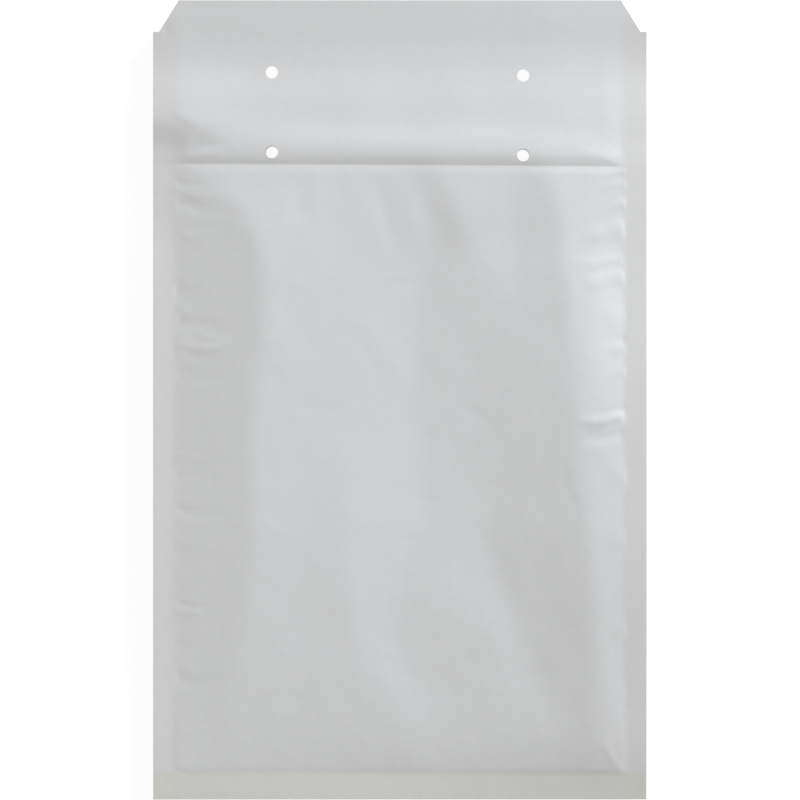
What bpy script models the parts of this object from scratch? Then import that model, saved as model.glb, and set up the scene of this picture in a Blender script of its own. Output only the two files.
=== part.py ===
"""A white padded envelope with an air-bubble lining, lying on its back panel with its flap open.

Metres, +Z up. The address panel faces up and the flap points along +Y. The origin is on the surface
that the envelope lies on, under the middle of its length and width.
"""

import math

import bmesh
import bpy

# Outline of the paper
WIDTH = 0.200
BODY_LENGTH = 0.278
FLAP_LENGTH = 0.046
SIDE_SEAL = 0.010
BOTTOM_SEAL = 0.011
MOUTH_SETBACK = 0.0012  # the back panel ends this far short of the flap's fold
CORNER_CLIP_LENGTH = 0.0128
CORNER_CLIP_DEPTH = 0.0080
CORNER_STEP = 0.0024

# Punched holes, in two pairs that meet when the flap is closed
HOLE_DIAMETER = 0.005
HOLE_SPACING = 0.1019
HOLE_FROM_FOLD = 0.01615
HOLE_OFFSET = -0.0009
HOLE_SIDES = 24

# Lines across the envelope run down to the right by this much for each metre
CREASE_SKEW = 0.0058
HOLE_SKEW = 0.0125

# Thicknesses and the fit between the pieces
PAPER = 0.0003
PADDING = 0.0017
CLEARANCE = 0.0003

# Bubble lining
LINING_SEAM = 0.003
LINING_INSET = 0.003
LINING_BELOW_FOLD = 0.0211
LEAST_ROOM_SLOPE = 0.10  # how fast the pocket opens beside the lining's seams

# How the envelope lies
SEAL_HEIGHT = 0.0080
BOTTOM_SHOULDER = 0.042
BOTTOM_FULLNESS = 1.5
BACK_SHOULDER = 0.028
BACK_FULLNESS = 2.4
BOTTOM_DROOP_LEFT = 0.0002
BOTTOM_DROOP_RIGHT = 0.0015

# The address panel's step over the lining's top edge
STEP_FALL = 0.00012
STEP_FALL_RUN = 0.0024
STEP_RISE = 0.00042
STEP_RISE_RUN = 0.012
STEP_FULLNESS = 3.0

# The flap's even arch, its fall from the body and the lift of its free end
ARCH_HEIGHT = 0.0020
ARCH_RUN = 0.024
CREST_FROM_FOLD = 0.0130
FLAP_DROP = 0.0027
FLAP_CURL = 0.0004

# Closing strip under the flap
STRIP_WIDTH = 0.013
STRIP_LENGTH = 0.172
STRIP_FROM_EDGE = 0.0025
ADHESIVE_THICKNESS = 0.00025
LINER_THICKNESS = 0.00025
LINER_MARGIN = 0.0015

# Soft folds down the address panel, from left to right. Each point gives three values: its share of the
# way from the bottom seal to the lining's top edge, its share of the way from the middle to a side seal,
# and its rise above the left seal, as a multiple of the fold height. The panel is straight across from
# one fold to the next.
FOLD_HEIGHT = 0.001
LEFT_SEAL_LINE = ((0.00, -1.00, 0.0), (1.00, -1.00, 0.0))
LEFT_SHOULDER_LINE = (
    (0.00, -0.78, 0.9),
    (0.17, -0.73, 1.2),
    (0.45, -0.67, 1.7),
    (0.65, -0.64, 2.1),
    (0.82, -0.61, 2.2),
    (0.94, -0.73, 1.8),
    (1.00, -0.88, 0.9),
)
BAND_LINE = (
    (0.00, 0.11, 0.9),
    (0.11, -0.02, 1.0),
    (0.17, -0.16, 1.2),
    (0.29, -0.22, 1.6),
    (0.45, -0.24, 1.4),
    (0.82, -0.27, 1.7),
    (1.00, -0.28, 1.3),
)
VALLEY_LINE = (
    (0.00, 0.22, 0.6),
    (0.11, 0.16, 0.7),
    (0.23, -0.03, 0.9),
    (0.35, 0.03, 0.9),
    (0.45, 0.11, 0.8),
    (0.65, 0.07, 0.9),
    (0.82, 0.08, 1.0),
    (0.94, 0.12, 1.4),
    (1.00, 0.06, 1.3),
)
WEDGE_LINE = (
    (0.00, 0.69, 1.2),
    (0.17, 0.61, 1.1),
    (0.29, 0.48, 0.9),
    (0.40, 0.37, 0.9),
    (0.57, 0.51, 2.1),
    (0.65, 0.53, 2.3),
    (0.82, 0.53, 1.9),
    (0.88, 0.53, 1.3),
    (1.00, 0.52, 1.5),
)
RIDGE_LINE = (
    (0.00, 0.93, 2.0),
    (0.17, 0.87, 2.4),
    (0.29, 0.86, 3.0),
    (0.49, 0.78, 3.2),
    (0.65, 0.70, 3.0),
    (0.82, 0.69, 2.8),
    (0.88, 0.69, 2.0),
    (1.00, 0.65, 1.8),
)
RIGHT_SEAL_LINE = (
    (0.00, 1.00, 0.7),
    (0.17, 1.00, 1.6),
    (0.29, 1.00, 2.1),
    (0.41, 1.00, 2.0),
    (0.65, 1.00, 1.1),
    (0.82, 1.00, 0.1),
    (1.00, 1.00, 0.0),
)
FOLD_LINES = (
    LEFT_SEAL_LINE,
    LEFT_SHOULDER_LINE,
    BAND_LINE,
    VALLEY_LINE,
    WEDGE_LINE,
    RIDGE_LINE,
    RIGHT_SEAL_LINE,
)
SEAL_TILT_START = -0.33  # the right seal's rise starts at this share of the way to a side seal

# Spacing of the grid lines near the seals and creases, and over the long plain stretches
FINE_STEP = 0.0065
WIDE_STEP = 0.0120

FREE_EDGE = (BODY_LENGTH + FLAP_LENGTH) / 2
BOTTOM_EDGE = FREE_EDGE - FLAP_LENGTH - BODY_LENGTH
FOLD_LINE = BOTTOM_EDGE + BODY_LENGTH
MOUTH_LINE = FOLD_LINE - MOUTH_SETBACK
POCKET_SIDE = WIDTH / 2 - SIDE_SEAL
POCKET_BOTTOM = BOTTOM_EDGE + BOTTOM_SEAL
LINING_SIDE = POCKET_SIDE - LINING_INSET
LINING_BOTTOM = POCKET_BOTTOM + LINING_INSET
LINING_TOP = FOLD_LINE - LINING_BELOW_FOLD
CREST = FOLD_LINE - CREST_FROM_FOLD
STRIP_END = FREE_EDGE - STRIP_FROM_EDGE
STRIP_START = STRIP_END - STRIP_WIDTH
FLAP_FLAT = STRIP_START - LINER_MARGIN
CUTTER_REACH = 0.02
ROUNDING = 1e-6
SHARP_ANGLE = math.radians(40)


def smooth(t):
    """From 0 to 1 as t goes from 0 to 1, level at both ends."""
    t = min(max(t, 0.0), 1.0)
    return t * t * (3 - 2 * t)


def swell(distance, reach, fullness):
    """How far a panel has risen at this distance from its seal: 0 at the seal, 1 at the reach."""
    t = min(max(distance / reach, 0.0), 1.0)
    return 1 - (1 - t) ** fullness


def line_at(line, along):
    """Where a fold lies across the panel and how high it is, at this share of the way along it."""
    if along <= line[0][0]:
        return line[0][1:]
    for (start, xa, ha), (stop, xb, hb) in zip(line, line[1:]):
        if along <= stop:
            t = (along - start) / (stop - start)
            return xa + (xb - xa) * t, ha + (hb - ha) * t
    return line[-1][1:]


def share_along(y):
    return (y - POCKET_BOTTOM) / (LINING_TOP - POCKET_BOTTOM)


def fold_rise(x, y):
    """The rise of the address panel above the left seal."""
    across, along = x / POCKET_SIDE, share_along(y)
    placed = [line_at(line, along) for line in FOLD_LINES]
    for (xa, ha), (xb, hb) in zip(placed, placed[1:]):
        if across <= xb:
            return FOLD_HEIGHT * (ha + (hb - ha) * max(across - xa, 0) / (xb - xa))
    return FOLD_HEIGHT * placed[-1][1]


def seal_rise(x, y):
    """How far the side seals are above the left one at each place. The right seal is higher than the left."""
    _, rise = line_at(RIGHT_SEAL_LINE, share_along(y))
    return FOLD_HEIGHT * rise * smooth((x / POCKET_SIDE - SEAL_TILT_START) / (1 - SEAL_TILT_START))


def arch(x):
    """The even arch that the flap has across its width."""
    return ARCH_HEIGHT * (1 - (2 * x / WIDTH) ** 2)


def flap_share(y):
    """From 0 over the body to 1 over the flap."""
    return smooth((y - LINING_TOP) / ARCH_RUN)


def flap_fall(y):
    """How far the flap hangs below the body. Its free end lifts again a little."""
    fall = FLAP_DROP * smooth((y - CREST) / (FLAP_FLAT - CREST))
    lift = FLAP_CURL * max(y - FLAP_FLAT, 0) / (FREE_EDGE - FLAP_FLAT)
    return fall - lift


def bottom_droop(x, y):
    """How far the bottom seal hangs, more at its right end."""
    most = BOTTOM_DROOP_LEFT + (BOTTOM_DROOP_RIGHT - BOTTOM_DROOP_LEFT) * smooth(x / WIDTH + 0.5)
    return most * max(POCKET_BOTTOM - y, 0) / BOTTOM_SEAL


def seal_height(x, y):
    """The middle of the paper at the seals, carried on between them."""
    over = flap_share(y)
    flat = SEAL_HEIGHT - flap_fall(y) - bottom_droop(x, y)
    return flat + seal_rise(x, y) * (1 - over) + arch(max(abs(x), POCKET_SIDE)) * over


def step(x, y):
    """The fall and rise of the address panel over the lining's top edge, which end at the side seals."""
    fall = STEP_FALL * smooth((y - LINING_TOP + STEP_FALL_RUN) / STEP_FALL_RUN)
    rise = STEP_RISE * swell(y - LINING_TOP, STEP_RISE_RUN, STEP_FULLNESS)
    return (rise - fall) * smooth((POCKET_SIDE - abs(x)) / STEP_RISE_RUN)


def upper_face(x, y):
    """The outer face of the address panel and the flap."""
    over = flap_share(y)
    fullness = swell(y - POCKET_BOTTOM, BOTTOM_SHOULDER, BOTTOM_FULLNESS)
    body = (fold_rise(x, y) - seal_rise(x, y)) * fullness
    flap = arch(x) - arch(max(abs(x), POCKET_SIDE))
    return seal_height(x, y) + PAPER + body * (1 - over) + flap * over + step(x, y)


def back_swell(x, y):
    """The share by which the back panel has come down from its seals onto the table."""
    across = swell(POCKET_SIDE - abs(x), BACK_SHOULDER, BACK_FULLNESS)
    along = swell(y - POCKET_BOTTOM, BACK_SHOULDER, BACK_FULLNESS)
    return across * along


def lower_face(x, y):
    """The outer face of the back panel, which lies flat over the padding."""
    return (seal_height(x, y) - PAPER) * (1 - back_swell(x, y))


def upper_lining_face(x, y):
    return upper_face(x, y) - PAPER - CLEARANCE


def lower_lining_face(x, y):
    return lower_face(x, y) + PAPER + CLEARANCE


def pocket_half_height(x, y):
    """Half the room inside the lining, which closes at its seams."""
    from_seam = min(
        LINING_SIDE - LINING_SEAM - abs(x), y - LINING_BOTTOM - LINING_SEAM
    )
    if from_seam < ROUNDING:
        return 0.0
    half_room = (upper_lining_face(x, y) - lower_lining_face(x, y)) / 2
    least = min(LEAST_ROOM_SLOPE * from_seam, half_room / 3)
    return max(half_room - PADDING, least)


def lining_middle(x, y):
    return (upper_lining_face(x, y) + lower_lining_face(x, y)) / 2


def spaced(marks, fine, wide):
    """Grid lines through every mark, with the gaps between marks divided evenly."""
    lines = [marks[0]]
    for start, stop in zip(marks, marks[1:]):
        step = wide if stop - start > 4 * fine else fine
        count = max(1, math.ceil((stop - start) / step - ROUNDING))
        lines += [start + (stop - start) * (i + 1) / count for i in range(count)]
    return lines


def lines_across():
    """Grid lines at each seal, seam and shoulder, from left to right."""
    left = [-WIDTH / 2, -POCKET_SIDE, -LINING_SIDE, LINING_SEAM - LINING_SIDE]
    right = [-x for x in reversed(left)]
    shoulders = [BACK_SHOULDER - POCKET_SIDE, POCKET_SIDE - BACK_SHOULDER]
    return spaced(left + shoulders + right, FINE_STEP, WIDE_STEP)


def lines_along():
    """Grid lines at each seal, seam and crease, from the bottom edge to the flap's free edge."""
    marks = [
        BOTTOM_EDGE,
        POCKET_BOTTOM,
        LINING_BOTTOM,
        LINING_BOTTOM + LINING_SEAM,
        POCKET_BOTTOM + BACK_SHOULDER,
        LINING_TOP - STEP_FALL_RUN,
        LINING_TOP,
        CREST,
        MOUTH_LINE,
        FOLD_LINE,
        FLAP_FLAT,
        FREE_EDGE,
    ]
    return spaced(marks, FINE_STEP, WIDE_STEP)


def skewed(x, y):
    """The y of a grid point once the lines across slant by the crease skew. Both end edges stay straight."""
    ease = smooth((y - BOTTOM_EDGE) / BOTTOM_SEAL) * smooth((FREE_EDGE - y) / FLAP_LENGTH)
    return y - CREASE_SKEW * x * ease


def sheet(bm, across, along, inside, upper, lower):
    """A closed sheet between two heights, over the cells of a grid whose middles are inside its plan."""
    made = bmesh.ops.create_grid(
        bm, x_segments=len(across) - 1, y_segments=len(along) - 1, size=1
    )["verts"]
    for vert in made:
        column = round((vert.co.x + 1) / 2 * (len(across) - 1))
        row = round((vert.co.y + 1) / 2 * (len(along) - 1))
        vert.co.x, vert.co.y = across[column], along[row]
    cells = {face for vert in made for face in vert.link_faces}
    outside = [face for face in cells if not inside(*face.calc_center_median().xy)]
    bmesh.ops.delete(bm, geom=outside, context="FACES")
    kept = [face for face in cells if face.is_valid]
    below = {vert for face in kept for vert in face.verts}
    result = bmesh.ops.extrude_face_region(bm, geom=kept)["geom"]
    above = [item for item in result if isinstance(item, bmesh.types.BMVert)]
    for verts, height in ((below, lower), (above, upper)):
        for vert in verts:
            vert.co.z = height(vert.co.x, vert.co.y)
    top_faces = [item for item in result if isinstance(item, bmesh.types.BMFace)]
    return top_faces, kept


def open_over(bm, faces, sealed):
    """Takes away the faces of a sheet where it is sealed to the other one."""
    gone = [face for face in faces if sealed(*face.calc_center_median().xy)]
    bmesh.ops.delete(bm, geom=gone, context="FACES")


def finish_mesh(bm, name):
    """Welds the sheets of a piece where they are sealed, skews it and makes its mesh."""
    bmesh.ops.remove_doubles(bm, verts=bm.verts[:], dist=ROUNDING)
    for vert in bm.verts:
        vert.co.y = skewed(vert.co.x, vert.co.y)
    bmesh.ops.recalc_face_normals(bm, faces=bm.faces[:])
    mesh = bpy.data.meshes.new(name)
    bm.to_mesh(mesh)
    bm.free()
    mesh.shade_smooth()
    mesh.set_sharp_from_angle(angle=SHARP_ANGLE)
    return mesh


def in_pocket(x, y):
    return abs(x) < POCKET_SIDE and y > POCKET_BOTTOM


def paper_mesh():
    """Two paper panels, sealed together down both sides and along the bottom. The upper one has the flap."""
    bm = bmesh.new()
    across, along = lines_across(), lines_along()
    _, under = sheet(
        bm, across, along, lambda x, y: True, upper_face, lambda x, y: upper_face(x, y) - PAPER
    )
    over, _ = sheet(
        bm,
        across,
        along,
        lambda x, y: y < MOUTH_LINE,
        lambda x, y: lower_face(x, y) + PAPER,
        lower_face,
    )

    def sealed(x, y):
        return y < MOUTH_LINE and not in_pocket(x, y)

    open_over(bm, under, sealed)
    open_over(bm, over, sealed)
    return finish_mesh(bm, "paper_envelope")


def lining_mesh():
    """Two layers of bubble film, joined along the side and bottom seams."""
    bm = bmesh.new()
    across = [x for x in lines_across() if abs(x) < LINING_SIDE + ROUNDING]
    along = [y for y in lines_along() if LINING_BOTTOM - ROUNDING < y < LINING_TOP + ROUNDING]

    def everywhere(x, y):
        return True

    def ceiling(x, y):
        return lining_middle(x, y) + pocket_half_height(x, y)

    def floor(x, y):
        return lining_middle(x, y) - pocket_half_height(x, y)

    def sealed(x, y):
        return abs(x) > LINING_SIDE - LINING_SEAM or y < LINING_BOTTOM + LINING_SEAM

    _, under = sheet(bm, across, along, everywhere, upper_lining_face, ceiling)
    over, _ = sheet(bm, across, along, everywhere, floor, lower_lining_face)
    open_over(bm, under, sealed)
    open_over(bm, over, sealed)
    return finish_mesh(bm, "bubble_lining")


def strip_mesh(name, margin, upper, thickness):
    """A thin strip along the flap's underside, at the given height."""
    bm = bmesh.new()
    half = STRIP_LENGTH / 2 + margin
    across = [-half] + [x for x in lines_across() if abs(x) < half - ROUNDING] + [half]
    along = [STRIP_START - margin, (STRIP_START + STRIP_END) / 2, STRIP_END + margin]
    sheet(bm, across, along, lambda x, y: True, upper, lambda x, y: upper(x, y) - thickness)
    return finish_mesh(bm, name)


def under_flap(depth):
    """A height at this depth below the paper of the flap."""
    return lambda x, y: upper_face(x, y) - PAPER - CLEARANCE - depth


def material(name, colour, roughness):
    made = bpy.data.materials.new(name)
    made.use_nodes = True
    shader = made.node_tree.nodes["Principled BSDF"]
    shader.inputs["Base Color"].default_value = (*colour, 1)
    shader.inputs["Roughness"].default_value = roughness
    shader.inputs["Metallic"].default_value = 0
    return made


def piece(mesh, collection, look):
    made = bpy.data.objects.new(mesh.name, mesh)
    made.data.materials.append(look)
    collection.objects.link(made)
    return made


def cut(target, cutter):
    modifier = target.modifiers.new("cut " + cutter.name, "BOOLEAN")
    modifier.operation = "DIFFERENCE"
    modifier.solver = "EXACT"
    modifier.object = cutter


def as_cutter(cutter, collection):
    collection.objects.link(cutter)
    cutter.hide_render = True
    cutter.display_type = "WIRE"
    return cutter


def hole_cutters(collection):
    """A cylinder at each of the four punched holes."""
    for row, distance in (("flap", HOLE_FROM_FOLD), ("body", -HOLE_FROM_FOLD)):
        for side, x in (("left", -HOLE_SPACING / 2), ("right", HOLE_SPACING / 2)):
            bm = bmesh.new()
            bmesh.ops.create_cone(
                bm,
                cap_ends=True,
                segments=HOLE_SIDES,
                radius1=HOLE_DIAMETER / 2,
                radius2=HOLE_DIAMETER / 2,
                depth=2 * CUTTER_REACH,
            )
            mesh = bpy.data.meshes.new(f"{row}_hole_{side}")
            bm.to_mesh(mesh)
            bm.free()
            cutter = bpy.data.objects.new(mesh.name, mesh)
            cutter.location = (x + HOLE_OFFSET, FOLD_LINE + distance - HOLE_SKEW * x, 0)
            yield as_cutter(cutter, collection)


def corner_cutter(side, collection):
    """The prism that clips a flap corner and leaves a small step. The side is -1 for left, 1 for right."""
    step_y = FREE_EDGE - CORNER_CLIP_LENGTH
    inner = WIDTH / 2 - CORNER_STEP
    slope = CORNER_CLIP_DEPTH / CORNER_CLIP_LENGTH
    outline = [
        (WIDTH / 2 + CUTTER_REACH, step_y),
        (inner, step_y),
        (inner - CORNER_CLIP_DEPTH - slope * CUTTER_REACH, FREE_EDGE + CUTTER_REACH),
        (WIDTH / 2 + CUTTER_REACH, FREE_EDGE + CUTTER_REACH),
    ]
    curve = bpy.data.curves.new("corner_outline", "CURVE")
    curve.dimensions = "2D"
    curve.fill_mode = "BOTH"
    curve.extrude = CUTTER_REACH
    spline = curve.splines.new("POLY")
    spline.points.add(len(outline) - 1)
    spline.use_cyclic_u = True
    for point, (x, y) in zip(spline.points, outline):
        point.co = (side * x, y, 0, 1)
    drawn = bpy.data.objects.new("corner_outline", curve)
    bpy.context.scene.collection.objects.link(drawn)
    evaluated = drawn.evaluated_get(bpy.context.evaluated_depsgraph_get())
    mesh = bpy.data.meshes.new_from_object(evaluated)
    mesh.name = "left_corner" if side < 0 else "right_corner"
    bm = bmesh.new()
    bm.from_mesh(mesh)
    bmesh.ops.remove_doubles(bm, verts=bm.verts[:], dist=ROUNDING)
    bmesh.ops.recalc_face_normals(bm, faces=bm.faces[:])
    bm.to_mesh(mesh)
    bm.free()
    bpy.data.objects.remove(drawn)
    return as_cutter(bpy.data.objects.new(mesh.name, mesh), collection)


def main():
    for old in list(bpy.data.objects):
        bpy.data.objects.remove(old)
    parts = bpy.data.collections.new("padded_envelope")
    cutters = bpy.data.collections.new("cutters")
    bpy.context.scene.collection.children.link(parts)
    bpy.context.scene.collection.children.link(cutters)

    paper = piece(paper_mesh(), parts, material("white_paper", (0.62, 0.63, 0.63), 0.75))
    piece(lining_mesh(), parts, material("clear_film", (0.80, 0.84, 0.86), 0.25))
    adhesive = strip_mesh("adhesive_strip", 0, under_flap(0), ADHESIVE_THICKNESS)
    piece(adhesive, parts, material("adhesive", (0.82, 0.78, 0.66), 0.45))
    liner_depth = ADHESIVE_THICKNESS + CLEARANCE
    liner = strip_mesh("release_liner", LINER_MARGIN, under_flap(liner_depth), LINER_THICKNESS)
    piece(liner, parts, material("release_paper", (0.78, 0.79, 0.78), 0.40))

    for cutter in hole_cutters(cutters):
        cut(paper, cutter)
    for side in (-1, 1):
        cut(paper, corner_cutter(side, cutters))


main()
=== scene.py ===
"""The padded envelope as it is seen, lying on a white table with its flap open.

The paper panels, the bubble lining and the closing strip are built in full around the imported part.
"""

import math

import bmesh
import bpy
import numpy as np
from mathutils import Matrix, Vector, noise


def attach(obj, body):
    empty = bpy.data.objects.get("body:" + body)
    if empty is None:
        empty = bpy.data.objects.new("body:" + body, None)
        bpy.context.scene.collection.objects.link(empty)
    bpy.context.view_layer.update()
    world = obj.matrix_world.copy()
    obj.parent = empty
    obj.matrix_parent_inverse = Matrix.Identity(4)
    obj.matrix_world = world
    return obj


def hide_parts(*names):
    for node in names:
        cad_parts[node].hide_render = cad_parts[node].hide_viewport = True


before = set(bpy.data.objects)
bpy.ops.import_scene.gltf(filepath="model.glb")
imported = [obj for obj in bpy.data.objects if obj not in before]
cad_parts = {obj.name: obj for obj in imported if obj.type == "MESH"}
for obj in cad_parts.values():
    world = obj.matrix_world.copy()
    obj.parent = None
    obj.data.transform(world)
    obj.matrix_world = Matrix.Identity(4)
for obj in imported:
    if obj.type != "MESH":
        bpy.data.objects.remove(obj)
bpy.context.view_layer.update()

# The outline and the closing strip, as in the part
WIDTH = 0.200
BODY_LENGTH = 0.278
FLAP_LENGTH = 0.046
SIDE_SEAL = 0.010
BOTTOM_SEAL = 0.011
MOUTH_SETBACK = 0.0012
CORNER_CLIP_LENGTH = 0.0128
CORNER_CLIP_DEPTH = 0.0080
CORNER_STEP = 0.0024
HOLE_DIAMETER = 0.005
HOLE_SPACING = 0.1019
HOLE_FROM_FOLD = 0.01615
HOLE_OFFSET = -0.0009
HOLE_SKEW = 0.0125
CREASE_SKEW = 0.0058
PAPER = 0.0003
CLEARANCE = 0.0003
LINING_INSET = 0.003
LINING_SEAM = 0.003
LINING_BELOW_FOLD = 0.0211
STRIP_WIDTH = 0.013
STRIP_LENGTH = 0.172
STRIP_FROM_EDGE = 0.0025
STRIP_THICKNESS = 0.00025
LINER_MARGIN = 0.0015
TOUCHING = 0.00002  # the gap left between sheets that touch

FREE_EDGE = (BODY_LENGTH + FLAP_LENGTH) / 2
BOTTOM_EDGE = -FREE_EDGE
FOLD_LINE = BOTTOM_EDGE + BODY_LENGTH
MOUTH_LINE = FOLD_LINE - MOUTH_SETBACK
POCKET_SIDE = WIDTH / 2 - SIDE_SEAL
POCKET_BOTTOM = BOTTOM_EDGE + BOTTOM_SEAL
LINING_SIDE = POCKET_SIDE - LINING_INSET
LINING_BOTTOM = POCKET_BOTTOM + LINING_INSET
LINING_TOP = FOLD_LINE - LINING_BELOW_FOLD
STRIP_END = FREE_EDGE - STRIP_FROM_EDGE
STRIP_START = STRIP_END - STRIP_WIDTH

# How the envelope lies
SEAL_TOP = 0.0083
PADDING = 0.0017
BOTTOM_SHOULDER = 0.042
BOTTOM_FULLNESS = 1.5
BACK_SHOULDER = 0.028
BACK_FULLNESS = 2.4

# From here on, the form of the address panel is in millimetres
MM = 0.001
SIDE = round(WIDTH / 2 / MM)
SEAM = round(POCKET_SIDE / MM)
END = round(FREE_EDGE / MM)
BOTTOM_CREASE = round(POCKET_BOTTOM / MM)
BODY_END = 95.0  # the lining's top edge shows through the paper here

# Soft folds down the body. Each point is the distance along the envelope, the place across it and the
# rise above the left seal. The panel is straight from one fold to the next.
LEFT_SEAL_LINE = ((95, -91.5, 0), (-151, -91.5, 0))
LEFT_SHOULDER_LINE = (
    (95, -84, 0.6), (90, -81, 0.85), (85, -74, 1.3), (80, -67, 1.8), (65, -58, 2.25), (50, -55, 2.35),
    (28, -54.6, 2.35), (10, -58, 2.2), (-12, -61, 2.0), (-40, -60, 1.8), (-71, -60, 1.55), (-90, -64, 1.35),
    (-110, -66, 1.15), (-130, -70, 1.0), (-151, -70, 0.9),
)
PATCH_LINE = (
    (95, -45, 1.35), (80, -45, 1.8), (50, -42, 2.0), (10, -40, 1.65), (-12, -38, 1.4), (-40, -36, 1.25),
    (-60, -42, 1.25), (-81, -42, 1.25), (-100, -40, 1.15), (-125, -40, 1.0), (-151, -40, 0.9),
)
BAND_LINE = (
    (95, -25, 1.3), (50, -24, 1.5), (10, -22, 1.2), (-12, -22, 1.05), (-40, -22, 1.25), (-60, -21, 1.45),
    (-81, -20, 1.6), (-95, -20, 1.4), (-110, -14, 1.15), (-125, -2, 0.95), (-138, 6, 0.9), (-151, 10, 0.85),
)
VALLEY_LINE = (
    (95, 2, 1.15), (85, 9, 1.2), (75, 13, 1.2), (65, 17, 1.0), (58, 14, 0.75), (50, 8, 0.6), (10, 6, 0.4),
    (-12, 7, 0.35), (-40, 10, 0.5), (-55, 8, 0.65), (-65, 3, 0.7), (-81, -4, 0.85), (-95, -3, 0.75),
    (-110, 5, 0.6), (-125, 14, 0.55), (-138, 18, 0.55), (-151, 20, 0.55),
)
STREAK_LINE = (
    (95, 12, 1.75), (85, 19, 1.85), (75, 23, 1.85), (65, 27, 1.6), (58, 28, 1.45), (50, 30, 1.45),
    (10, 30, 1.1), (-12, 30, 1.05), (-40, 26, 0.8), (-60, 14, 0.75), (-81, 17, 1.15), (-95, 38, 1.35),
    (-110, 43, 1.1), (-125, 42, 0.95), (-151, 42, 0.9),
)
WEDGE_LINE = (
    (95, 46, 1.45), (80, 47, 1.55), (65, 47, 1.15), (50, 48, 1.75), (30, 49, 2.1), (10, 50, 2.2),
    (-12, 49, 2.05), (-40, 39, 1.15), (-50, 34, 0.9), (-65, 38, 0.75), (-81, 44, 0.95), (-95, 51, 1.2),
    (-110, 56, 1.1), (-125, 62, 1.2), (-138, 63, 1.2), (-151, 62, 1.2),
)
RIDGE_LINE = (
    (95, 59, 1.85), (80, 65, 2.15), (65, 66.5, 2.2), (50, 68, 2.95), (30, 69, 3.05), (10, 70.5, 3.2),
    (-12, 72, 3.35), (-30, 74, 3.3), (-50, 76, 3.25), (-81, 79, 3.05), (-110, 80, 2.5), (-125, 80, 2.2),
    (-138, 82, 2.1), (-151, 84, 2.0),
)
RIGHT_SHOULDER_LINE = (
    (95, 79, 1.1), (80, 79, 1.3), (65, 79, 1.4), (50, 78, 2.25), (30, 78, 2.6), (10, 80, 2.95),
    (-12, 82, 3.1), (-30, 83, 3.1), (-50, 84, 2.95), (-81, 85, 2.75), (-110, 85, 2.25), (-125, 86, 1.9),
    (-151, 87, 1.6),
)
RIGHT_SEAL_LINE = (
    (95, 90.8, 0), (50, 90.8, 0.2), (30, 90.8, 0.9), (10, 90.8, 1.9), (-12, 90.8, 2.55), (-50, 90.8, 2.7),
    (-81, 90.8, 2.55), (-110, 90.8, 1.95), (-125, 90.8, 1.5), (-151, 90.8, 1.3),
)
BODY_LINES = (
    LEFT_SEAL_LINE, LEFT_SHOULDER_LINE, PATCH_LINE, BAND_LINE, VALLEY_LINE, STREAK_LINE, WEDGE_LINE,
    RIDGE_LINE, RIGHT_SHOULDER_LINE, RIGHT_SEAL_LINE,
)

# Short puckers beside the side seals: the place along, where it starts in the panel, its half width
# and its height
RIGHT_PUCKERS = (
    (93.0, 80, 1.8, 0.09), (88.0, 81, 2.0, 0.14), (80, 79, 2.8, 0.17), (69.5, 72, 5.0, 0.34),
    (57.5, 67, 3.2, 0.18), (50.5, 72, 4.2, 0.30), (35, 78, 6.0, 0.10), (25.5, 79, 2.0, -0.10),
    (21.5, 78, 2.6, 0.14), (11.5, 79, 3.0, 0.10), (-2.6, 80, 1.6, -0.08), (-6.5, 68, 2.8, 0.32),
    (-13.5, 63, 3.6, -0.18), (-30, 82, 7.0, 0.10), (-56, 83, 5.0, 0.05), (-92, 83, 6.0, 0.05),
    (-118, 81, 5.0, 0.05),
)
LEFT_PUCKERS = (
    (88.0, -74, 2.0, -0.09), (84.0, -78, 1.8, 0.05), (79, -60, 4.0, -0.12), (67, -72, 4.0, 0.06),
    (43, -78, 6.0, -0.09), (31, -60, 4.4, -0.11), (22, -64, 2.8, 0.12), (10, -66, 4.8, -0.10),
    (-23, -76, 2.6, 0.06), (-31, -68, 3.2, -0.06), (-45, -66, 3.0, -0.08), (-58, -70, 4.0, 0.04),
    (-83, -67, 1.6, -0.06), (-86, -72, 2.0, 0.05), (-100, -78, 2.4, -0.05), (-114, -70, 5.0, -0.10),
    (-134, -72, 4.0, 0.05),
)

# Faint creases in the body: both ends (across, along), half width and height
CREASES = (
    ((-52, 49), (-26, 42), 2.2, 0.030), ((-18, 51), (14, 49), 2.0, 0.028), ((-22, 40), (6, 4), 9.0, 0.09),
    ((-60, -3), (-12, -4), 2.0, -0.030), ((21, -1), (39, -9), 2.4, -0.040),
    ((-62, -46), (-40, -58), 2.6, 0.04), ((-8, -56), (12, -57), 2.0, -0.030),
    ((-10, -102), (4, -104), 2.0, 0.025), ((81, -136), (91, -153), 2.4, 0.09),
    ((-40, 94), (-42, 68), 7.0, -0.10), ((-12, 95), (0, 56), 6.0, -0.10), ((1, 95), (8, 62), 7.0, 0.08),
    ((-93, -150), (-81, -154), 1.6, -0.04), ((64, -24), (73, -50), 3.0, -0.05),
)

# Faint creases beyond the lining's edge, given the same way
SHELF_CREASES = (
    ((-97, 116), (-78, 105), 3.4, -0.06), ((-86, 105), (-62, 98), 3.4, -0.05),
    ((76, 105), (91, 100), 1.8, 0.05), ((78, 101), (91, 97), 1.8, -0.05),
    ((-46, 116.4), (44, 115.6), 1.2, -0.020), ((24, 119), (36, 117), 1.6, 0.030),
    ((26, 122), (40, 120), 1.4, -0.020), ((50, 158), (80, 148), 2.0, 0.030),
    ((45, 157), (60, 151), 1.6, -0.020), ((-99, 156), (-92, 146), 3.0, -0.06),
)

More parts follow.
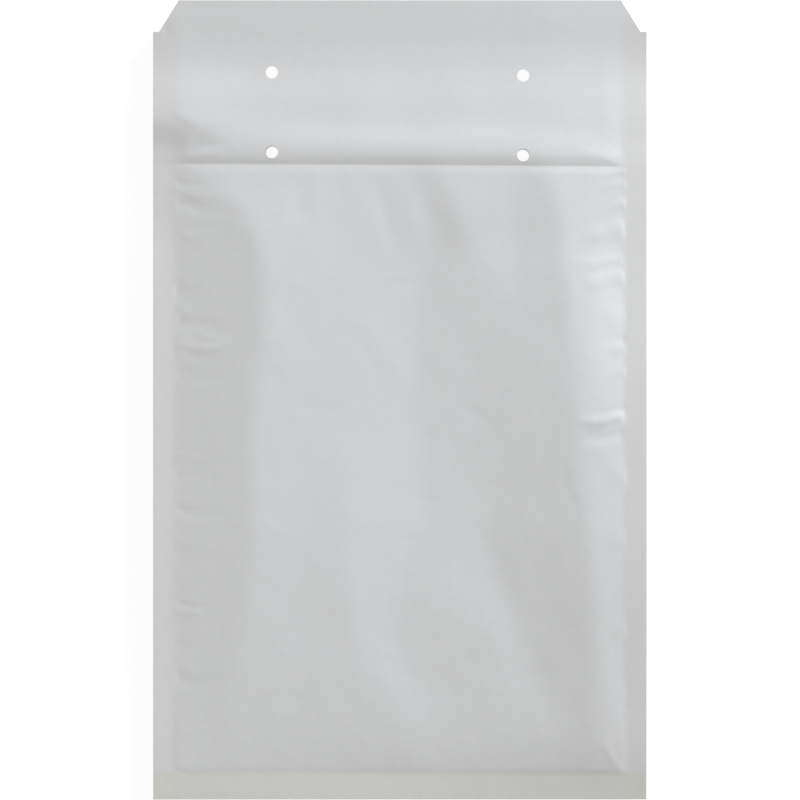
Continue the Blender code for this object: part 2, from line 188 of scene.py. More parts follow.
# Fine lines that the sealing bar leaves along the outer edges of the side seals: place and height
EDGE_LINES = ((-98.3, 0.015), (-97.3, 0.008), (98.8, 0.015), (97.6, 0.008))
EDGE_LINE_WIDTH = 0.45
EDGE_LINE_END = 112

# How puckers and creases run. The side seals are flat from a little outside their seams.
SEAL_FLAT_FROM = 92
PUCKER_WIDENING = 1.15
PUCKER_LEAN = 0.12
PUCKER_WAVE = 0.5
PUCKER_WAVE_RATE = 0.45
PUCKER_UNEVENNESS = 0.7
CREASE_TAPER = 0.4

# Small uneven waves over the air bubbles: length across and along, the noise's layer and its share
COCKLES = ((13, 17, 3.1, 1.0), (5, 6, 8.7, 0.5))
COCKLE_HEIGHT = 0.05

# How far the folds are softened, in cells of the map
MAP_STEP = 0.5
COCKLE_CELLS = 4
FOLD_BLUR = 6
SHELF_BLUR = 28
LENGTH_BLUR = 12
LEFT_SEAL_BLUR = 3
RIGHT_SEAL_BLUR = 1

# The right seal rises over this stretch across the panel
TILT_START = -30
TILT_RUN = 120

# The panel's slope from the lining's top edge to the flap's free edge: the place along and the slope there
SHELF_SLOPES = (
    (91.2, 0), (94.2, -0.060), (95.1, -0.065), (95.4, 0.165), (96.6, 0.155), (98.4, 0.100), (100.4, 0.020),
    (103, -0.035), (106, -0.090), (109, -0.105), (111.5, -0.070), (114, -0.050), (118, -0.040),
    (126, -0.060), (132, -0.050), (137, -0.018), (144, 0.004), (148, 0.034), (162, 0.036),
)
SHELF_STEP = 0.05
SHELF_Y = np.arange(91, 163, SHELF_STEP)
SHELF_HEIGHT = np.cumsum(np.interp(SHELF_Y, *zip(*SHELF_SLOPES))) * SHELF_STEP
LIP = 91.5  # the panel starts to dip here, just before the lining's edge
STEP_FOOT = 95.1
STEP_TOP = 101.3

# How far in from the sides the step eases off: the least reach, and where, over what length and by how
# much it grows
LEFT_REACH = (10, ((97, 8, 22),))
RIGHT_REACH = (7, ((97, 7, 15), (112, 12, 18)))
LEFT_CLIMB = 0.30  # the left seal's share of the step

# Where the side strips bend beside the flap: the place along, how round the bend is and its turn
SIDE_BENDS = ((96, 1.0, -0.035), (115, 2.0, -0.020), (138, 2.0, 0.050), (147, 2.0, 0.035))

# The edges of the strip under the flap show through: the place along and the height
PRINT_LINES = ((144.6, 0.015), (136.5, 0.012))

LIP_FALL = 0.10  # how much more the panel's right part dips at the lip

# Broad swells beyond the step, which mostly fade out from a little past the fold, and a hollow between them
RIGHT_SWELL = 0.62
LEFT_SWELL = 0.75
SWELL_FADE_FROM = 118
SWELL_LOSS = 0.8
HOLLOW_DEPTH = 0.28

# The corner left of the step, which turns up towards the flap
FACET_SLOPE = 0.072
FACET_FOOT = 98.8
FACET_EDGE = 114
FACET_SLANT = 0.50
FACET_LOSS = 0.9

# The lie of the flap: the height along its middle, and how much lower its sides are, near the fold and
# near the free edge
ARCH_HEIGHT = 1.5
ARCH_LOSS = (2.1, 0.6)

# How steeply the side strips lean outwards beside the body and beside the flap
LEFT_LEAN = (0.02, -0.025)
RIGHT_LEAN = (0.01, -0.035)

# The bottom end, at the left and at the right: the strip's slope, and how far the panel sags near it and
# settles over a longer way
DROOP_SLOPE = (0.06, 0.11)
SAG = (0.7, 2.2)
SAG_START = -95
RIGHT_SAG_LOSS = 0.12
SETTLING = (0.9, 1.5)
BOTTOM_CREASE_HEIGHT = (0.08, 0.12)


def smooth(t):
    """From 0 to 1 as t goes from 0 to 1, level at both ends."""
    t = np.clip(t, 0, 1)
    return t * t * (3 - 2 * t)


def swell(t, fullness):
    """From 0 to 1 as t goes from 0 to 1, steep at the start and level at the end."""
    return 1 - (1 - np.clip(t, 0, 1)) ** fullness


def ramp(value, start, length):
    """From 0 to 1 over this length past the start."""
    return smooth((value - start) / length)


def fade(value, end, length):
    """From 1 to 0 over this length before the end."""
    return smooth((end - value) / length)


def between(pair, share):
    """From the first value to the second as the share goes from 0 to 1."""
    first, second = pair
    return first + (second - first) * share


def line_at(line, y):
    """Where a fold lies and how high it is at each place along the envelope."""
    ys, xs, rises = (np.array(v, float) for v in zip(*sorted(line)))
    return np.interp(y, ys, xs), np.interp(y, ys, rises)


def body_rise(x, y):
    """The panel spanned straight from each fold to the next."""
    placed = [line_at(line, y) for line in BODY_LINES]
    rise = np.where(x < 0, placed[0][1], placed[-1][1])
    for (xa, ha), (xb, hb) in zip(placed, placed[1:]):
        t = (x - xa) / np.maximum(xb - xa, 0.5)
        rise = np.where((t >= 0) & (t <= 1), ha + (hb - ha) * t, rise)
    return rise


def blur(z, cells, axis):
    """Softens a height map along one axis, by two running means."""
    kernel = np.ones(2 * cells + 1) / (2 * cells + 1)
    edges = [(cells, cells) if a == axis else (0, 0) for a in (0, 1)]
    for _ in range(2):
        z = np.apply_along_axis(np.convolve, axis, np.pad(z, edges, mode="edge"), kernel, "valid")
    return z


MAP_X = np.arange(-SIDE, SIDE + MAP_STEP / 2, MAP_STEP)
MAP_Y = np.arange(-END, END + MAP_STEP / 2, MAP_STEP)


def make_body_map():
    """The softened folds of the body over the whole plan. They stay crisp where they meet the seals."""
    x, y = np.meshgrid(MAP_X, MAP_Y)
    raw = body_rise(x, np.clip(y, BOTTOM_CREASE, BODY_END))
    beyond = ramp(y, 94, 6)
    soft = blur(raw, FOLD_BLUR, 1) * (1 - beyond) + blur(raw, SHELF_BLUR, 1) * beyond
    crisp = np.where(x < 0, blur(raw, LEFT_SEAL_BLUR, 1), blur(raw, RIGHT_SEAL_BLUR, 1))
    inner = fade(np.abs(x), SEAM, 9)
    return blur(soft * inner + crisp * (1 - inner), LENGTH_BLUR, 0)


def cockle_at(x, y):
    """How high the uneven waves over the bubbles are, before their height is applied."""
    return sum(share * noise.noise(Vector((x / across, y / along, layer)))
               for across, along, layer, share in COCKLES)


BODY_MAP = make_body_map()
COCKLE_MAP = np.array([[cockle_at(x, y) for x in MAP_X[::COCKLE_CELLS]] for y in MAP_Y[::COCKLE_CELLS]])


def sampled(table, step, x, y):
    """A map's value between its points."""
    fx = np.clip((x - MAP_X[0]) / step, 0, table.shape[1] - 1.001)
    fy = np.clip((y - MAP_Y[0]) / step, 0, table.shape[0] - 1.001)
    ix, iy = fx.astype(int), fy.astype(int)
    tx, ty = fx - ix, fy - iy
    low = table[iy, ix] * (1 - tx) + table[iy, ix + 1] * tx
    high = table[iy + 1, ix] * (1 - tx) + table[iy + 1, ix + 1] * tx
    return low * (1 - ty) + high * ty


def pucker(x, y, side, at, inner, half_width, height):
    """A short fold that runs from a side seal into the panel, leans a little and isn't quite straight."""
    reach = SEAL_FLAT_FROM - side * inner
    t = (side * x - side * inner) / reach
    share = smooth(t / 0.75) * smooth((1 - t) / 0.12)
    wave = PUCKER_WAVE * np.sin(PUCKER_WAVE_RATE * x + at)
    centre = at - PUCKER_LEAN * (1 - t) * reach + wave
    return height * smooth(1 - np.abs(y - centre) / (PUCKER_WIDENING * half_width)) * share


def crease(x, y, start, stop, half_width, height):
    """A straight soft line with tapered ends."""
    (ax, ay), (bx, by) = start, stop
    dx, dy = bx - ax, by - ay
    t = ((x - ax) * dx + (y - ay) * dy) / (dx * dx + dy * dy)
    away = np.abs((x - ax) * dy - (y - ay) * dx) / math.hypot(dx, dy)
    tapered = smooth(t / CREASE_TAPER) * smooth((1 - t) / CREASE_TAPER)
    return height * smooth(1 - away / half_width) * tapered


def bend(y, at, width):
    """How far a point is past a bend, rounded over this width."""
    t = (y - at) / width
    return width * (np.maximum(t, 0) + np.log1p(np.exp(-np.abs(t))))


def reach_at(y, reach):
    """How far in from the side the step eases off at each place along."""
    least, growths = reach
    return least + sum(gain * ramp(y, start, length) for start, length, gain in growths)


def shelf(x, y):
    """The step over the lining's top edge and the slope down to the flap. Both ease off towards the sides."""
    step = np.interp(y, SHELF_Y, SHELF_HEIGHT)
    reach = np.where(x < 0, reach_at(y, LEFT_REACH), reach_at(y, RIGHT_REACH))
    inside = smooth((SEAL_FLAT_FROM - np.abs(x)) / reach)
    strips = sum(turn * bend(y, at, width) for at, width, turn in SIDE_BENDS)
    climb = np.interp(np.clip(y, STEP_FOOT, STEP_TOP), SHELF_Y, SHELF_HEIGHT)
    climb = climb - np.interp(STEP_FOOT, SHELF_Y, SHELF_HEIGHT)
    strips = strips + LEFT_CLIMB * climb * (x < 0)
    lip_fall = LIP_FALL * ramp(x, 20, 60) * ramp(y, LIP, 3.5)
    print_through = sum(height * ramp(y, at, 1.0) for at, height in PRINT_LINES)
    return (step - lip_fall) * inside + strips * (1 - inside) + print_through


def swells(x, y):
    """Beyond the step the panel is a little fuller at both sides, and hollow near its middle."""
    right = RIGHT_SWELL * ramp(x, 29, 42) * (1 - 0.5 * ramp(x, 82, 10)) * ramp(y, 102, 15)
    left = LEFT_SWELL * fade(x, -25, 60) * ramp(y, 100, 14)
    hollow = HOLLOW_DEPTH * smooth(1 - np.abs(x - 5) / 26) * ramp(y, 93, 18) * (1 - ramp(y, 113, 45))
    return (left + right) * (1 - SWELL_LOSS * ramp(y, SWELL_FADE_FROM, 44)) - hollow


def left_facet(x, y):
    """The corner left of the step, which turns up towards the flap as far as a slanting line."""
    edge = FACET_EDGE - FACET_SLANT * np.clip(x + SEAM, 0, 40)
    over = ramp(y, 102, 16)
    share = smooth((-58 + 38 * over - x) / (26 + 44 * over))
    rise = FACET_SLOPE * bend(y - bend(y, edge, 1.5), FACET_FOOT, 0.8)
    return rise * share * (1 - FACET_LOSS * ramp(y, FACET_EDGE, 48))


def fine_relief(x, y, bottom):
    """Cockles, puckers and creases."""
    cockle = sampled(COCKLE_MAP, COCKLE_CELLS * MAP_STEP, x, y)
    relief = COCKLE_HEIGHT * cockle * fade(np.abs(x), 94, 8) * (1 - 0.6 * ramp(y, 88, 8))
    uneven = (1 + PUCKER_UNEVENNESS * cockle) * bottom
    for side, puckers in ((1, RIGHT_PUCKERS), (-1, LEFT_PUCKERS)):
        for row in puckers:
            relief = relief + pucker(x, y, side, *row) * uneven
    for row in CREASES + SHELF_CREASES:
        relief = relief + crease(x, y, *row)
    for at, height in EDGE_LINES:
        relief = relief + height * smooth(1 - np.abs(x - at) / EDGE_LINE_WIDTH) * fade(y, EDGE_LINE_END, 3)
    return relief


def strip_lean(x, y):
    """How the side strips lean, outside the seams."""
    left = between(LEFT_LEAN, ramp(y, 55, 20)) * np.maximum(-91 - x, 0)
    right = between(RIGHT_LEAN, ramp(y, 10, 60)) * np.maximum(x - 91, 0)
    return left + right


def bottom_end(x, y):
    """How the panel goes down towards its bottom end, and the crease along the bottom seal."""
    droop = between(DROOP_SLOPE, ramp(x, TILT_START, 125)) * np.maximum(BOTTOM_CREASE - y, 0)
    sag = between(SAG, ramp(x, -SIDE, 160)) * (1 - RIGHT_SAG_LOSS * ramp(x, 65, 30))
    sag = sag * np.clip((SAG_START - np.maximum(y, BOTTOM_CREASE)) / (SAG_START - BOTTOM_CREASE), 0, 1) ** 3
    settled = between(SETTLING, ramp(x, TILT_START, 90)) * fade(y, -48, 78)
    ridge = between(BOTTOM_CREASE_HEIGHT, ramp(x, 0, SEAM)) * ramp(y, BOTTOM_CREASE - 1.4, 3.6)
    ridge = ridge * fade(y, -105, 45) * fade(np.abs(x), 93, 4)
    return ridge - droop - sag - settled


def upper_face(x, y):
    """The height of the outer face of the address panel and the flap, in metres, before the skew."""
    x, y = np.asarray(x) / MM, np.asarray(y) / MM
    bottom = swell((y - BOTTOM_CREASE) / (BOTTOM_SHOULDER / MM), BOTTOM_FULLNESS)
    tilt = line_at(RIGHT_SEAL_LINE, np.clip(y, BOTTOM_CREASE, BODY_END))[1]
    seal = tilt * ramp(x, TILT_START, TILT_RUN)
    body = seal + (sampled(BODY_MAP, MAP_STEP, x, y) - seal) * bottom + strip_lean(x, y)
    arch = ARCH_HEIGHT - between(ARCH_LOSS, ramp(y, 128, 30)) * (np.abs(x) / SIDE) ** 2
    z = between((body, arch), ramp(y, BODY_END, 24)) + fine_relief(x, y, bottom)
    return SEAL_TOP + (z + shelf(x, y) + swells(x, y) + left_facet(x, y) + bottom_end(x, y)) * MM


def below(depth):
    """The surface at this depth under the outer face."""
    return lambda x, y: upper_face(x, y) - depth


def lower_face(x, y):
    """The outer face of the back panel, in metres: flat over the padding, and up to the seals beside it."""
    across = swell((POCKET_SIDE - np.abs(x)) / BACK_SHOULDER, BACK_FULLNESS)
    along = swell((y - POCKET_BOTTOM) / BACK_SHOULDER, BACK_FULLNESS)
    seams = [upper_face(np.full_like(x, side * POCKET_SIDE), y) for side in (-1, 1)]
    between_seals = between(seams, ramp(x / MM, TILT_START, TILT_RUN))
    sealed = (np.abs(x) > POCKET_SIDE) | (y < POCKET_BOTTOM)
    front = upper_face(x, y)
    seal = np.where(sealed, front, np.minimum(front, between_seals))
    return (seal - 2 * PAPER - TOUCHING) * (1 - across * along)


SHARP_ANGLE = math.radians(50)
CUTTER_REACH = 0.03
HOLE_SIDES = 40


def spaced(marks):
    """Grid lines through each mark, with the step given for each stretch between marks."""
    lines = [marks[0][0]]
    for (start, step), (stop, _) in zip(marks, marks[1:]):
        count = max(1, round((stop - start) / step))
        lines += [start + (stop - start) * (i + 1) / count for i in range(count)]
    return np.array(lines)


def skewed(x, y):
    """The lines across the envelope slant a little. Both of its ends stay straight."""
    ease = smooth((y - BOTTOM_EDGE) / BOTTOM_SEAL) * smooth((FREE_EDGE - y) / FLAP_LENGTH)
    return y - CREASE_SKEW * x * ease


def closed_sheet(name, across, along, upper, lower):
    """A closed sheet between two surfaces over a grid."""
    x, y = np.meshgrid(across, along)
    rows, columns = x.shape
    placed_y = skewed(x, y)
    top = np.stack([x, placed_y, upper(x, y)], -1).reshape(-1, 3)
    low = np.stack([x, placed_y, lower(x, y)], -1).reshape(-1, 3)
    index = np.arange(rows * columns).reshape(rows, columns)
    a, b, c, d = index[:-1, :-1], index[:-1, 1:], index[1:, 1:], index[1:, :-1]
    faces = np.stack([a, b, c, d], -1).reshape(-1, 4)
    under = faces[:, ::-1] + rows * columns
    rim = np.concatenate([index[0, :], index[1:, -1], index[-1, -2::-1], index[-2:0:-1, 0]])
    after = np.roll(rim, -1)
    sides = np.stack([after, rim, rim + rows * columns, after + rows * columns], -1)
    mesh = bpy.data.meshes.new(name)
    all_faces = np.concatenate([faces, under, sides])
    mesh.from_pydata(np.concatenate([top, low]).tolist(), [], all_faces.tolist())
    mesh.shade_smooth()
    mesh.set_sharp_from_angle(angle=SHARP_ANGLE)
    made = bpy.data.objects.new(name, mesh)
    bpy.context.scene.collection.objects.link(made)
    return made


def prism(bm, outline):
    """An upright prism through the sheets."""
    low = [bm.verts.new((x, y, -CUTTER_REACH)) for x, y in outline]
    high = [bm.verts.new((x, y, CUTTER_REACH)) for x, y in outline]
    bm.faces.new(low)
    bm.faces.new(high[::-1])
    for i, start in enumerate(low):
        j = (i + 1) % len(low)
        bm.faces.new((start, high[i], high[j], low[j]))


def round_outline(x, y, radius):
    """A circle as a closed outline."""
    turns = [2 * math.pi * i / HOLE_SIDES for i in range(HOLE_SIDES)]
    return [(x + radius * math.cos(t), y + radius * math.sin(t)) for t in turns]


def hole_outlines(distances):
    """Two holes in a row at each of these distances from the fold."""
    for distance in distances:
        for x in (-HOLE_SPACING / 2, HOLE_SPACING / 2):
            yield round_outline(x + HOLE_OFFSET, FOLD_LINE + distance - HOLE_SKEW * x, HOLE_DIAMETER / 2)


def corner_outline(side):
    """What is clipped off a corner of the flap, with the small step where the clip starts."""
    far = 0.02
    step_y = FREE_EDGE - CORNER_CLIP_LENGTH
    inner = WIDTH / 2 - CORNER_STEP
    slope = CORNER_CLIP_DEPTH / CORNER_CLIP_LENGTH
    points = [
        (WIDTH / 2 + far, step_y), (WIDTH / 2 + far, FREE_EDGE + far),
        (inner - CORNER_CLIP_DEPTH - slope * far, FREE_EDGE + far), (inner, step_y),
    ]
    return [(side * x, y) for x, y in points]


def cut_through(sheet, outlines):
    """Cuts upright prisms out of a sheet."""
    bm = bmesh.new()
    for outline in outlines:
        prism(bm, outline)
    bmesh.ops.recalc_face_normals(bm, faces=bm.faces[:])
    mesh = bpy.data.meshes.new("cutter")
    bm.to_mesh(mesh)
    bm.free()
    cutter = bpy.data.objects.new("cutter", mesh)
    bpy.context.scene.collection.objects.link(cutter)
    modifier = sheet.modifiers.new("cut", "BOOLEAN")
    modifier.operation = "DIFFERENCE"
    modifier.solver = "EXACT"
    modifier.object = cutter
    evaluated = sheet.evaluated_get(bpy.context.evaluated_depsgraph_get())
    cut_mesh = bpy.data.meshes.new_from_object(evaluated)
    cut_mesh.name = sheet.name
    sheet.modifiers.clear()
    sheet.data = cut_mesh
    bpy.data.objects.remove(cutter)


# The materials' base colours, how much they vary, and the tints of the seals
PAPER_WHITE = (0.614, 0.620, 0.629)
RELEASE_WHITE = (0.80, 0.81, 0.80)
FILM_TONE = (0.86, 0.88, 0.89)
ADHESIVE_TONE = (0.86, 0.82, 0.70)
PAPER_MOTTLE = 0.012
FILM_MOTTLE = 0.03
SIDE_SEAL_TINT = (1.0, 0.995, 0.980)
BOTTOM_SEAL_TINT = (1.0, 0.995, 0.945)


def node_material(name):
    made = bpy.data.materials.new(name)
    made.use_nodes = True
    return made, made.node_tree, made.node_tree.nodes["Principled BSDF"]


def add_noise(tree, vector, scale, detail, roughness=0.5):
    node = tree.nodes.new("ShaderNodeTexNoise")
    node.inputs["Scale"].default_value = scale
    node.inputs["Detail"].default_value = detail
    node.inputs["Roughness"].default_value = roughness
    tree.links.new(vector, node.inputs["Vector"])
    return node.outputs["Fac"]


def add_ramp(tree, fac, low, high, low_at=0.0, high_at=1.0):
    node = tree.nodes.new("ShaderNodeValToRGB")
    node.color_ramp.elements[0].position = low_at
    node.color_ramp.elements[0].color = (*low, 1)
    node.color_ramp.elements[1].position = high_at
    node.color_ramp.elements[1].color = (*high, 1)
    tree.links.new(fac, node.inputs["Fac"])
    return node.outputs["Color"]


def add_bump(tree, height, strength, distance):
    node = tree.nodes.new("ShaderNodeBump")
    node.inputs["Strength"].default_value = strength
    node.inputs["Distance"].default_value = distance
    tree.links.new(height, node.inputs["Height"])
    return node


def add_math(tree, operation, *values):
    """A maths node on these values, each a socket or a number."""
    node = tree.nodes.new("ShaderNodeMath")
    node.operation = operation
    for place, value in zip(node.inputs, values):
        if isinstance(value, (int, float)):
            place.default_value = value
        else:
            tree.links.new(value, place)
    return node.outputs[0]


def tinted(tree, colour, share, tint):
    """A colour multiplied by a tint where the share is 1."""
    node = tree.nodes.new("ShaderNodeMixRGB")
    node.blend_type = "MULTIPLY"
    node.inputs["Color2"].default_value = (*tint, 1)
    tree.links.new(share, node.inputs["Fac"])
    tree.links.new(colour, node.inputs["Color1"])
    return node.outputs["Color"]


def warmer_at_seals(tree, place, colour):
    """The pressed seals along the sides and the bottom are a little warmer than the paper between them."""
    parted = tree.nodes.new("ShaderNodeSeparateXYZ")
    tree.links.new(place, parted.inputs["Vector"])
    from_middle = add_math(tree, "ABSOLUTE", parted.outputs["X"])
    at_sides = add_math(tree, "GREATER_THAN", from_middle, POCKET_SIDE)
    at_bottom = add_math(tree, "LESS_THAN", parted.outputs["Y"], POCKET_BOTTOM)
    return tinted(tree, tinted(tree, colour, at_sides, SIDE_SEAL_TINT), at_bottom, BOTTOM_SEAL_TINT)


def paper_material(name, tone, roughness):
    """Smooth white paper with a faint mottle and a fine fibre surface."""
    made, tree, shader = node_material(name)
    place = tree.nodes.new("ShaderNodeTexCoord").outputs["Object"]
    mottle = add_noise(tree, place, scale=420, detail=4, roughness=0.6)
    low, high = ([c * (1 + change) for c in tone] for change in (-PAPER_MOTTLE, PAPER_MOTTLE))
    colour = add_ramp(tree, mottle, low, high, 0.35, 0.65)
    tree.links.new(warmer_at_seals(tree, place, colour), shader.inputs["Base Color"])
    fibre = add_noise(tree, place, scale=900, detail=3)
    bump = add_bump(tree, fibre, strength=0.18, distance=0.00005)
    tree.links.new(bump.outputs["Normal"], shader.inputs["Normal"])
    shader.inputs["Roughness"].default_value = roughness
    shader.inputs["Specular IOR Level"].default_value = 0.35
    return made


def film_material(name, tone, roughness, transmission):
    """Film or adhesive with a slightly uneven surface."""
    made, tree, shader = node_material(name)
    place = tree.nodes.new("ShaderNodeTexCoord").outputs["Object"]
    mottle = add_noise(tree, place, scale=160, detail=3)
    low, high = ([min(c * (1 + change), 1) for c in tone] for change in (-FILM_MOTTLE, FILM_MOTTLE))
    tree.links.new(add_ramp(tree, mottle, low, high, 0.3, 0.7), shader.inputs["Base Color"])
    shader.inputs["Roughness"].default_value = roughness
    shader.inputs["Transmission Weight"].default_value = transmission
    return made


def dress(obj, material, slot, *nodes):
    obj.data.materials.clear()
    obj.data.materials.append(material)
    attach(obj, "root")
    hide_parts(*nodes)
    return obj


def panel_lines():
    """Grid lines of the address panel, closest at its edges and where it bends most."""
    across = spaced([
        (-0.100, 0.0002), (-0.0968, 0.0008), (-0.088, 0.0012), (0.088, 0.0005), (0.092, 0.0010),
        (0.0968, 0.0002), (0.100, 0),
    ])
    along = spaced([
        (BOTTOM_EDGE, 0.0012), (-0.1525, 0.0005), (-0.149, 0.0012), (0.0915, 0.0004), (0.0945, 0.00025),
        (0.0960, 0.0005), (0.100, 0.0012), (FREE_EDGE, 0),
    ])
    return across, along


PLAIN_GRID = 0.002
LINING_GRID = 0.0015
STRIP_GRID = 0.003


def make_front(look):
    front = closed_sheet("address_panel_and_flap", *panel_lines(), upper_face, below(PAPER))
    holes = hole_outlines((HOLE_FROM_FOLD, -HOLE_FROM_FOLD))
    cut_through(front, [*holes, corner_outline(-1), corner_outline(1)])
    dress(front, look, "white_paper", "paper_envelope")


def make_back(look):
    edges = (-WIDTH / 2, -POCKET_SIDE, POCKET_SIDE)
    across = spaced([*((edge, PLAIN_GRID) for edge in edges), (WIDTH / 2, 0)])
    along = spaced([(BOTTOM_EDGE, PLAIN_GRID), (POCKET_BOTTOM, PLAIN_GRID), (MOUTH_LINE, 0)])
    back = closed_sheet("back_panel", across, along, lambda x, y: lower_face(x, y) + PAPER, lower_face)
    cut_through(back, hole_outlines((-HOLE_FROM_FOLD,)))
    dress(back, look, "white_paper", "paper_envelope")


# The air bubbles, and the film that they are made in
BUBBLE_PITCH = 0.0105
BUBBLE_RADIUS = 0.0046
FILM = 0.0002
FULL_BUBBLES_FROM = 0.012  # the bubbles reach their full height this far from the lining's seams


def bubble(x, y):
    """The rise of the air bubbles, set in staggered rows, from 0 between them to 1 on top."""
    row_step = BUBBLE_PITCH * math.sqrt(3) / 2
    nearest = np.full_like(x, 1.0)
    row = np.round(y / row_step)
    for shift in (-1, 0, 1):
        r = row + shift
        offset = np.where(r % 2 == 0, 0, BUBBLE_PITCH / 2)
        cx = np.round((x - offset) / BUBBLE_PITCH) * BUBBLE_PITCH + offset
        nearest = np.minimum(nearest, np.hypot(x - cx, y - r * row_step))
    return np.sqrt(np.clip(1 - (nearest / BUBBLE_RADIUS) ** 2, 0, 1))


def make_lining():
    """Two layers of bubble film, joined along the side and bottom seams."""
    look = film_material("clear bubble film", FILM_TONE, roughness=0.22, transmission=0.6)
    across = spaced([(-LINING_SIDE, LINING_GRID), (LINING_SIDE, 0)])
    along = spaced([(LINING_BOTTOM, LINING_GRID), (LINING_TOP, 0)])

    def inner_face(x, y, side):
        """The face towards the pocket, of the upper layer where the side is 1 and of the lower one at -1."""
        top = upper_face(x, np.minimum(y, LIP * MM)) - PAPER - CLEARANCE
        low = lower_face(x, y) + PAPER + CLEARANCE
        return (top + low) / 2 + side * np.maximum((top - low) / 2 - PADDING, TOUCHING)

    def outer_face(x, y, side):
        """The face towards the paper, with the bubbles on it."""
        from_seam = np.minimum(LINING_SIDE - LINING_SEAM - np.abs(x), y - LINING_BOTTOM - LINING_SEAM)
        height = FILM + (PADDING - FILM) * bubble(x, y) * smooth(from_seam / FULL_BUBBLES_FROM)
        return inner_face(x, y, side) + side * np.minimum(height, PADDING)

    for name, upper, lower in (
        ("bubble_film_above", lambda x, y: outer_face(x, y, 1), lambda x, y: inner_face(x, y, 1)),
        ("bubble_film_below", lambda x, y: inner_face(x, y, -1), lambda x, y: outer_face(x, y, -1)),
    ):
        layer = closed_sheet(name, across, along, upper, lower)
        dress(layer, look, "clear_film", "bubble_lining")


def make_strip(name, margin, depth, look, slot, node):
    """A flat strip under the flap, at this depth below its outer face."""
    half = STRIP_LENGTH / 2 + margin
    across = spaced([(-half, STRIP_GRID), (half, 0)])
    along = spaced([(STRIP_START - margin, PLAIN_GRID), (STRIP_END + margin, 0)])
    strip = closed_sheet(name, across, along, below(depth), below(depth + STRIP_THICKNESS))
    dress(strip, look, slot, node)


def make_strips():
    """The adhesive on the underside of the flap and the liner that covers it."""
    adhesive = film_material("adhesive", ADHESIVE_TONE, roughness=0.40, transmission=0.2)
    liner = paper_material("release paper", RELEASE_WHITE, roughness=0.35)
    depth = PAPER + CLEARANCE
    make_strip("adhesive_strip_under_flap", 0, depth, adhesive, "adhesive", "adhesive_strip")
    depth += STRIP_THICKNESS + CLEARANCE
    make_strip("release_liner_under_flap", LINER_MARGIN, depth, liner, "release_paper", "release_liner")


def mixed(tree, share, first, second):
    """One shader where the share is 0 and the other where it is 1."""
    mix = tree.nodes.new("ShaderNodeMixShader")
    tree.links.new(share, mix.inputs["Fac"])
    tree.links.new(first, mix.inputs[1])
    tree.links.new(second, mix.inputs[2])
    return mix.outputs["Shader"]


TABLE_REACH = 1.5
TABLE_DROP = 0.0002  # the table lies this far under the envelope
TABLE_GLOW = 1.06
GLOW_SHARE = 0.90  # the rest of what the camera sees of the table is lit, with the shadow on it


def make_table():
    """A white table that shows as plain white and keeps a faint shadow."""
    mesh = bpy.data.meshes.new("table")
    corners = [(x * TABLE_REACH, y * TABLE_REACH, 0) for x, y in ((-1, -1), (1, -1), (1, 1), (-1, 1))]
    mesh.from_pydata(corners, [], [(0, 1, 2, 3)])
    table = bpy.data.objects.new("table", mesh)
    table.location.z = -TABLE_DROP
    bpy.context.scene.collection.objects.link(table)
    made, tree, shader = node_material("white table")
    place = tree.nodes.new("ShaderNodeTexCoord").outputs["Object"]
    grain = add_noise(tree, place, scale=30, detail=2)
    tree.links.new(add_ramp(tree, grain, (0.80,) * 3, (0.82,) * 3), shader.inputs["Base Color"])
    shader.inputs["Roughness"].default_value = 0.8
    glow = tree.nodes.new("ShaderNodeEmission")
    glow.inputs["Color"].default_value = (1, 1, 1, 1)
    glow.inputs["Strength"].default_value = TABLE_GLOW
    rays = tree.nodes.new("ShaderNodeLightPath")
    share = add_math(tree, "MULTIPLY", rays.outputs["Is Camera Ray"], GLOW_SHARE)
    surface = mixed(tree, share, shader.outputs["BSDF"], glow.outputs["Emission"])
    tree.links.new(surface, tree.nodes["Material Output"].inputs["Surface"])
    table.data.materials.append(made)


def aim(obj, place, target):
    obj.location = place
    obj.rotation_euler = (Vector(target) - Vector(place)).to_track_quat("-Z", "Y").to_euler()


LIGHT_AZIMUTH = math.radians(45)
LIGHT_ELEVATION = math.radians(25)
LIGHT_DISTANCE = 9.0
LIGHT_SIZE = (3.1, 2.1)
LIGHT_POWER = 1512
LIGHT_COLOUR = (0.98, 1.0, 1.04)
SURROUND_COLOUR = (1.078, 1.0, 0.844)
SURROUND_LIGHT = 0.2


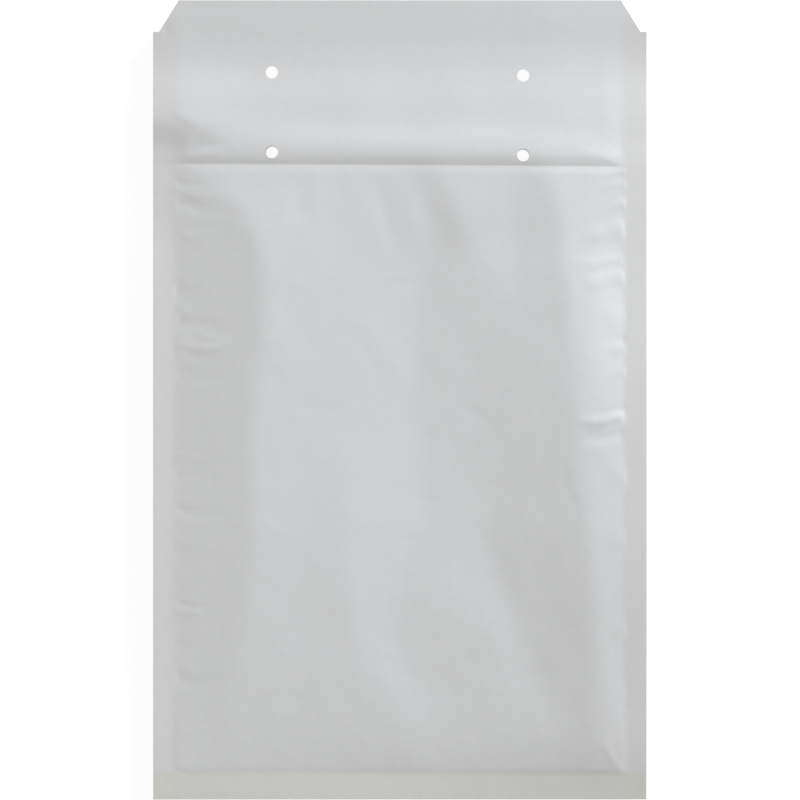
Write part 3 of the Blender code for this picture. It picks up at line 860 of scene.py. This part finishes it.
def make_light():
    """One soft light from the upper right, low over the table."""
    lamp = bpy.data.lights.new("window", "AREA")
    lamp.shape = "RECTANGLE"
    lamp.size, lamp.size_y = LIGHT_SIZE
    lamp.energy = LIGHT_POWER
    lamp.color = LIGHT_COLOUR
    obj = bpy.data.objects.new("window", lamp)
    bpy.context.scene.collection.objects.link(obj)
    level = LIGHT_DISTANCE * math.cos(LIGHT_ELEVATION)
    height = LIGHT_DISTANCE * math.sin(LIGHT_ELEVATION)
    place = (level * math.sin(LIGHT_AZIMUTH), level * math.cos(LIGHT_AZIMUTH), height)
    aim(obj, place, (0, 0, 0.005))


def add_background(tree, colour, strength):
    node = tree.nodes.new("ShaderNodeBackground")
    node.inputs["Color"].default_value = (*colour, 1)
    node.inputs["Strength"].default_value = strength
    return node.outputs["Background"]


def make_surround():
    """An even faint light from all around, which is white where it is looked at, directly or through film."""
    world = bpy.data.worlds.new("surround")
    bpy.context.scene.world = world
    world.use_nodes = True
    tree = world.node_tree
    tree.nodes.remove(tree.nodes["Background"])
    light = add_background(tree, SURROUND_COLOUR, SURROUND_LIGHT)
    white = add_background(tree, (1, 1, 1), 1.0)
    rays = tree.nodes.new("ShaderNodeLightPath")
    seen = add_math(tree, "MAXIMUM", rays.outputs["Is Camera Ray"], rays.outputs["Is Transmission Ray"])
    tree.links.new(mixed(tree, seen, light, white), tree.nodes["World Output"].inputs["Surface"])


CAMERA_DISTANCE = 5.0
CAMERA_X = 0.0001
ENVELOPE_TOP = 0.0095
SEEN_HEIGHT = 0.3242
SENSOR_HEIGHT = 24


def make_camera():
    """Straight above, with the envelope as tall as the picture."""
    lens = bpy.data.cameras.new("camera")
    lens.sensor_fit = "VERTICAL"
    lens.sensor_height = SENSOR_HEIGHT
    lens.lens = SENSOR_HEIGHT * CAMERA_DISTANCE / SEEN_HEIGHT
    lens.clip_end = 20
    camera = bpy.data.objects.new("camera", lens)
    camera.location = (CAMERA_X, 0, ENVELOPE_TOP + CAMERA_DISTANCE)
    bpy.context.scene.collection.objects.link(camera)
    bpy.context.scene.camera = camera


white_paper = paper_material("white paper", PAPER_WHITE, roughness=0.6)
make_front(white_paper)
make_back(white_paper)
make_lining()
make_strips()
make_table()
make_light()
make_surround()
make_camera()
bpy.context.scene.view_settings.view_transform = "Standard"
